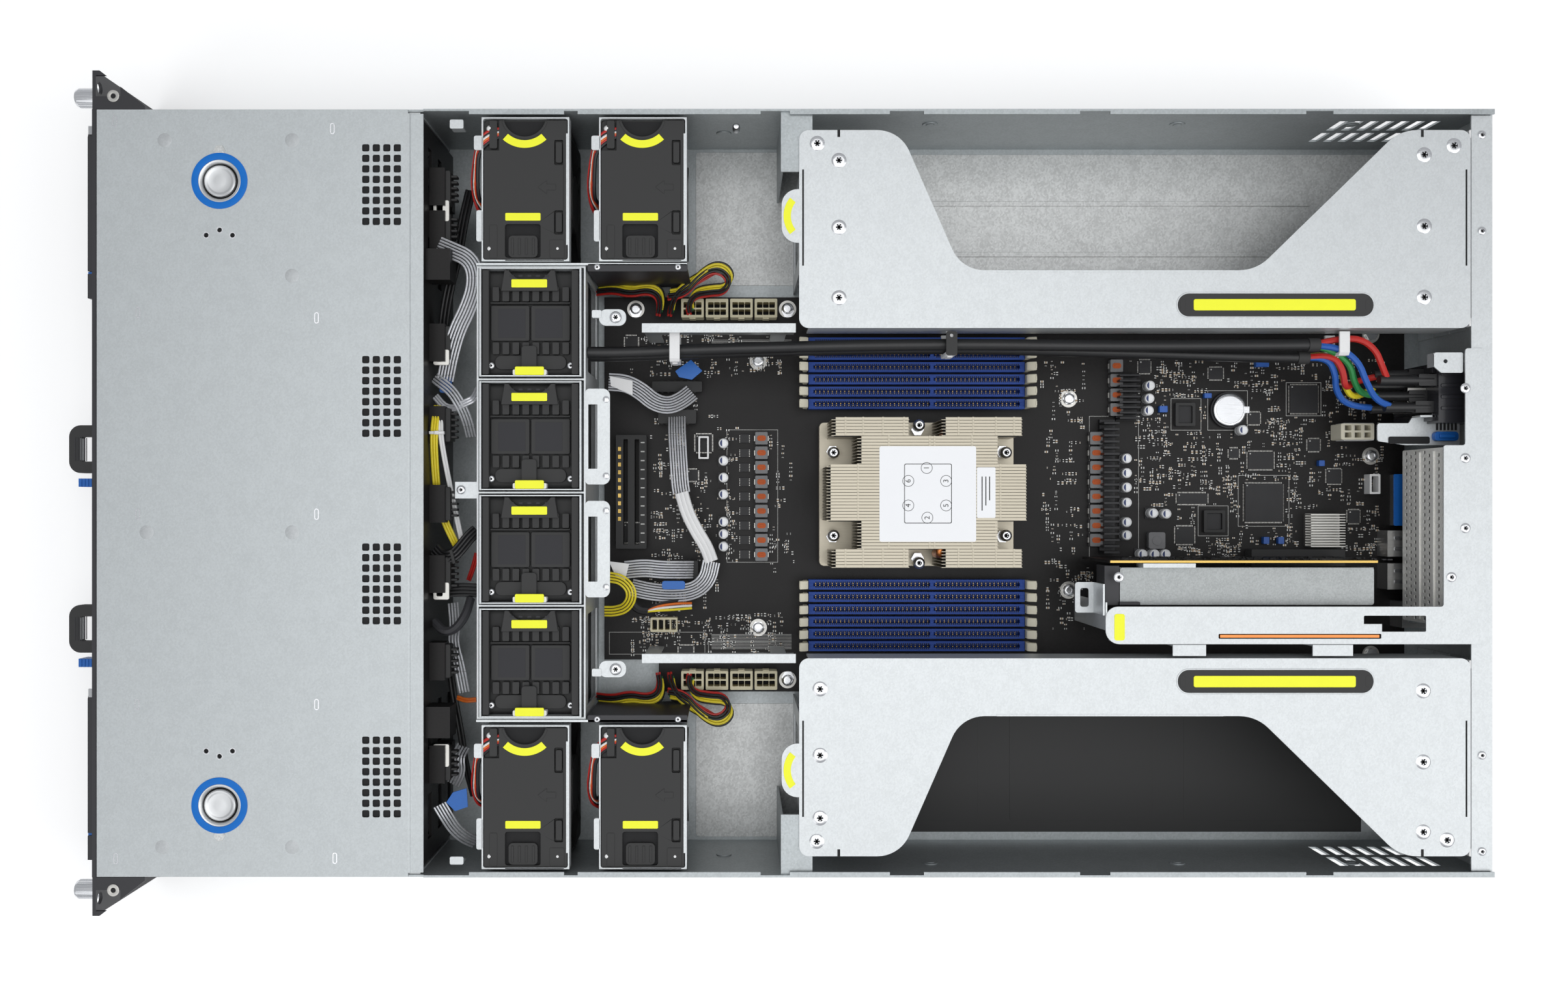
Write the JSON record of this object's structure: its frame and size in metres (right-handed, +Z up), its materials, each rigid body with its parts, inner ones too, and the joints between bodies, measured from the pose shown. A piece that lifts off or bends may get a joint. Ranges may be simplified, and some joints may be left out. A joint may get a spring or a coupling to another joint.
{
  "type": "2u rack server",
  "caption": "Rack-mount server chassis with its main lid off: drive trays, power supplies, lift-out fans, main board with heatsink, and two removable card cages.",
  "frame": {"origin": "middle of the underside of the chassis", "axes": "+X from the front to the rear, +Y to the left side seen from the front, +Z up"},
  "size_m": [0.8336, 0.4826, 0.0875],
  "materials": {
    "galvanised": "zinc-coated sheet steel",
    "black_steel": "black powder coat",
    "bright_screws": "bright nickel plate",
    "button_steel": "turned stainless steel",
    "drive_metal": "cast and bare aluminium",
    "lever_plastic": "fine texture",
    "supply_metal": "plain sheet",
    "latch_blue": "fine texture",
    "circuit_board": "black solder mask",
    "fan_plastic": "moulded, fine texture",
    "wheel_plastic": "moulded, smooth",
    "fin_metal": "nickel-plated fins",
    "socket_blue": "moulded, smooth",
    "latch_cream": "moulded, smooth",
    "connector_plastic": "moulded, smooth",
    "component_black": "moulded packages",
    "port_metal": "plain shell",
    "handle_plastic": "moulded, fine texture",
    "inlet_plastic": "moulded",
    "lead_rubber": "smooth jacket",
    "film_black": "satin film"
  },
  "bodies": {
    "chassis": {"chassis_tray": "galvanised", "front_frame": "black_steel", "bay_dividers": "galvanised", "rack_ears": "black_steel", "ear_screws": "bright_screws", "backplane_board": "circuit_board", "fan_cage": "galvanised", "main_board": "circuit_board", "board_screws": "bright_screws", "heatsink": "fin_metal", "memory_sockets": "socket_blue", "board_connectors": "connector_plastic", "board_components": "component_black", "rear_ports": "port_metal", "rear_panel": "galvanised", "power_inlet": "inlet_plastic", "mains_cables": "lead_rubber", "insulating_film": "film_black"},
    "cover": {"front_cover": "galvanised"},
    "button_left": {"cover_button_left": "button_steel"},
    "button_right": {"cover_button_right": "button_steel"},
    "latches_front": {"memory_latches_front": "latch_cream"},
    "latches_rear": {"memory_latches_rear": "latch_cream"},
    "low_cage": {"riser_cage": "galvanised"},
    "tray_1": {"drive_tray_1": "drive_metal"},
    "lever_1": {"tray_lever_1": "lever_plastic"},
    "tray_2": {"drive_tray_2": "drive_metal"},
    "lever_2": {"tray_lever_2": "lever_plastic"},
    "tray_3": {"drive_tray_3": "drive_metal"},
    "lever_3": {"tray_lever_3": "lever_plastic"},
    "tray_4": {"drive_tray_4": "drive_metal"},
    "lever_4": {"tray_lever_4": "lever_plastic"},
    "tray_5": {"drive_tray_5": "drive_metal"},
    "lever_5": {"tray_lever_5": "lever_plastic"},
    "tray_6": {"drive_tray_6": "drive_metal"},
    "lever_6": {"tray_lever_6": "lever_plastic"},
    "supply_left": {"power_supply_left": "supply_metal"},
    "squeeze_latch_left": {"supply_latch_left": "latch_blue"},
    "supply_right": {"power_supply_right": "supply_metal"},
    "squeeze_latch_right": {"supply_latch_right": "latch_blue"},
    "side_module_1": {"side_fan_1": "fan_plastic"},
    "side_wheel_1": {"side_rotor_1": "wheel_plastic"},
    "side_module_2": {"side_fan_2": "fan_plastic"},
    "side_wheel_2": {"side_rotor_2": "wheel_plastic"},
    "side_module_3": {"side_fan_3": "fan_plastic"},
    "side_wheel_3": {"side_rotor_3": "wheel_plastic"},
    "side_module_4": {"side_fan_4": "fan_plastic"},
    "side_wheel_4": {"side_rotor_4": "wheel_plastic"},
    "centre_module_1": {"centre_fan_1": "fan_plastic"},
    "centre_wheel_1": {"centre_rotor_1": "wheel_plastic"},
    "centre_module_2": {"centre_fan_2": "fan_plastic"},
    "centre_wheel_2": {"centre_rotor_2": "wheel_plastic"},
    "centre_module_3": {"centre_fan_3": "fan_plastic"},
    "centre_wheel_3": {"centre_rotor_3": "wheel_plastic"},
    "centre_module_4": {"centre_fan_4": "fan_plastic"},
    "centre_wheel_4": {"centre_rotor_4": "wheel_plastic"},
    "cage_left": {"card_cage_left": "galvanised"},
    "handle_left": {"cage_handle_left": "handle_plastic"},
    "cage_right": {"card_cage_right": "galvanised"},
    "handle_right": {"cage_handle_right": "handle_plastic"}
  },
  "joints": [
    {"name": "cover_lift", "type": "slide", "parent": "chassis", "child": "cover", "axis": [0, 0, 1], "range_m": [0, 0.04]},
    {"name": "button_left_press", "type": "slide", "parent": "cover", "child": "button_left", "axis": [0, 0, -1], "range_m": [0, 0.0012], "stiffness_N_per_m": 600, "springref_m": -0.0006},
    {"name": "button_right_press", "type": "slide", "parent": "cover", "child": "button_right", "axis": [0, 0, -1], "range_m": [0, 0.0012], "stiffness_N_per_m": 600, "springref_m": -0.0006},
    {"name": "tray_1_slide", "type": "slide", "parent": "chassis", "child": "tray_1", "axis": [-1, 0, 0], "range_m": [0, 0.17]},
    {"name": "lever_1_swing", "type": "hinge", "parent": "tray_1", "child": "lever_1", "pos_m": [-0.4036, 0.209, 0.0154], "axis": [0, 0, -1], "range_deg": [0, 60]},
    {"name": "tray_2_slide", "type": "slide", "parent": "chassis", "child": "tray_2", "axis": [-1, 0, 0], "range_m": [0, 0.17]},
    {"name": "lever_2_swing", "type": "hinge", "parent": "tray_2", "child": "lever_2", "pos_m": [-0.4036, 0.209, 0.0426], "axis": [0, 0, -1], "range_deg": [0, 60]},
    {"name": "tray_3_slide", "type": "slide", "parent": "chassis", "child": "tray_3", "axis": [-1, 0, 0], "range_m": [0, 0.17]},
    {"name": "lever_3_swing", "type": "hinge", "parent": "tray_3", "child": "lever_3", "pos_m": [-0.4036, 0.209, 0.0698], "axis": [0, 0, -1], "range_deg": [0, 60]},
    {"name": "tray_4_slide", "type": "slide", "parent": "chassis", "child": "tray_4", "axis": [-1, 0, 0], "range_m": [0, 0.17]},
    {"name": "lever_4_swing", "type": "hinge", "parent": "tray_4", "child": "lever_4", "pos_m": [-0.4036, -0.115, 0.0154], "axis": [0, 0, -1], "range_deg": [0, 60]},
    {"name": "tray_5_slide", "type": "slide", "parent": "chassis", "child": "tray_5", "axis": [-1, 0, 0], "range_m": [0, 0.17]},
    {"name": "lever_5_swing", "type": "hinge", "parent": "tray_5", "child": "lever_5", "pos_m": [-0.4036, -0.115, 0.0426], "axis": [0, 0, -1], "range_deg": [0, 60]},
    {"name": "tray_6_slide", "type": "slide", "parent": "chassis", "child": "tray_6", "axis": [-1, 0, 0], "range_m": [0, 0.17]},
    {"name": "lever_6_swing", "type": "hinge", "parent": "tray_6", "child": "lever_6", "pos_m": [-0.4036, -0.115, 0.0698], "axis": [0, 0, -1], "range_deg": [0, 60]},
    {"name": "supply_left_slide", "type": "slide", "parent": "chassis", "child": "supply_left", "axis": [-1, 0, 0], "range_m": [0, 0.175]},
    {"name": "squeeze_latch_left_swing", "type": "hinge", "parent": "supply_left", "child": "squeeze_latch_left", "pos_m": [-0.3956, 0.00545, 0.041], "axis": [0, 0, -1], "range_deg": [0, 6], "stiffness_Nm_per_rad": 0.5, "springref_deg": -2.86},
    {"name": "supply_right_slide", "type": "slide", "parent": "chassis", "child": "supply_right", "axis": [-1, 0, 0], "range_m": [0, 0.175]},
    {"name": "squeeze_latch_right_swing", "type": "hinge", "parent": "supply_right", "child": "squeeze_latch_right", "pos_m": [-0.3956, -0.10255, 0.041], "axis": [0, 0, -1], "range_deg": [0, 6], "stiffness_Nm_per_rad": 0.5, "springref_deg": -2.86},
    {"name": "side_module_1_lift", "type": "slide", "parent": "chassis", "child": "side_module_1", "axis": [0, 0, 1], "range_m": [0, 0.07]},
    {"name": "side_wheel_1_spin", "type": "hinge", "parent": "side_module_1", "child": "side_wheel_1", "pos_m": [-0.1545, 0.1742, 0.0411], "axis": [1, 0, 0], "continuous": true},
    {"name": "side_module_2_lift", "type": "slide", "parent": "chassis", "child": "side_module_2", "axis": [0, 0, 1], "range_m": [0, 0.07]},
    {"name": "side_wheel_2_spin", "type": "hinge", "parent": "side_module_2", "child": "side_wheel_2", "pos_m": [-0.0872, 0.1742, 0.0411], "axis": [1, 0, 0], "continuous": true},
    {"name": "side_module_3_lift", "type": "slide", "parent": "chassis", "child": "side_module_3", "axis": [0, 0, 1], "range_m": [0, 0.07]},
    {"name": "side_wheel_3_spin", "type": "hinge", "parent": "side_module_3", "child": "side_wheel_3", "pos_m": [-0.1545, -0.1742, 0.0411], "axis": [1, 0, 0], "continuous": true},
    {"name": "side_module_4_lift", "type": "slide", "parent": "chassis", "child": "side_module_4", "axis": [0, 0, 1], "range_m": [0, 0.07]},
    {"name": "side_wheel_4_spin", "type": "hinge", "parent": "side_module_4", "child": "side_wheel_4", "pos_m": [-0.0872, -0.1742, 0.0411], "axis": [1, 0, 0], "continuous": true},
    {"name": "centre_module_1_lift", "type": "slide", "parent": "chassis", "child": "centre_module_1", "axis": [0, 0, 1], "range_m": [0, 0.07]},
    {"name": "centre_wheel_1_spin", "type": "hinge", "parent": "centre_module_1", "child": "centre_wheel_1", "pos_m": [-0.15, 0.0982, 0.0411], "axis": [1, 0, 0], "continuous": true},
    {"name": "centre_module_2_lift", "type": "slide", "parent": "chassis", "child": "centre_module_2", "axis": [0, 0, 1], "range_m": [0, 0.07]},
    {"name": "centre_wheel_2_spin", "type": "hinge", "parent": "centre_module_2", "child": "centre_wheel_2", "pos_m": [-0.15, 0.033, 0.0411], "axis": [1, 0, 0], "continuous": true},
    {"name": "centre_module_3_lift", "type": "slide", "parent": "chassis", "child": "centre_module_3", "axis": [0, 0, 1], "range_m": [0, 0.07]},
    {"name": "centre_wheel_3_spin", "type": "hinge", "parent": "centre_module_3", "child": "centre_wheel_3", "pos_m": [-0.15, -0.0322, 0.0411], "axis": [1, 0, 0], "continuous": true},
    {"name": "centre_module_4_lift", "type": "slide", "parent": "chassis", "child": "centre_module_4", "axis": [0, 0, 1], "range_m": [0, 0.07]},
    {"name": "centre_wheel_4_spin", "type": "hinge", "parent": "centre_module_4", "child": "centre_wheel_4", "pos_m": [-0.15, -0.0974, 0.0411], "axis": [1, 0, 0], "continuous": true},
    {"name": "latches_front_open", "type": "hinge", "parent": "chassis", "child": "latches_front", "pos_m": [0.0107, 0, 0.0114], "axis": [0, -1, 0], "range_deg": [0, 30]},
    {"name": "latches_rear_open", "type": "hinge", "parent": "chassis", "child": "latches_rear", "pos_m": [0.1474, 0, 0.0114], "axis": [0, 1, 0], "range_deg": [0, 30]},
    {"name": "cage_left_lift", "type": "slide", "parent": "chassis", "child": "cage_left", "axis": [0, 0, 1], "range_m": [0, 0.08]},
    {"name": "handle_left_pull", "type": "slide", "parent": "cage_left", "child": "handle_left", "axis": [0, 0, 1], "range_m": [0, 0.02]},
    {"name": "cage_right_lift", "type": "slide", "parent": "chassis", "child": "cage_right", "axis": [0, 0, 1], "range_m": [0, 0.08]},
    {"name": "handle_right_pull", "type": "slide", "parent": "cage_right", "child": "handle_right", "axis": [0, 0, 1], "range_m": [0, 0.02]},
    {"name": "low_cage_lift", "type": "slide", "parent": "chassis", "child": "low_cage", "axis": [0, 0, 1], "range_m": [0, 0.06]}
  ]
}
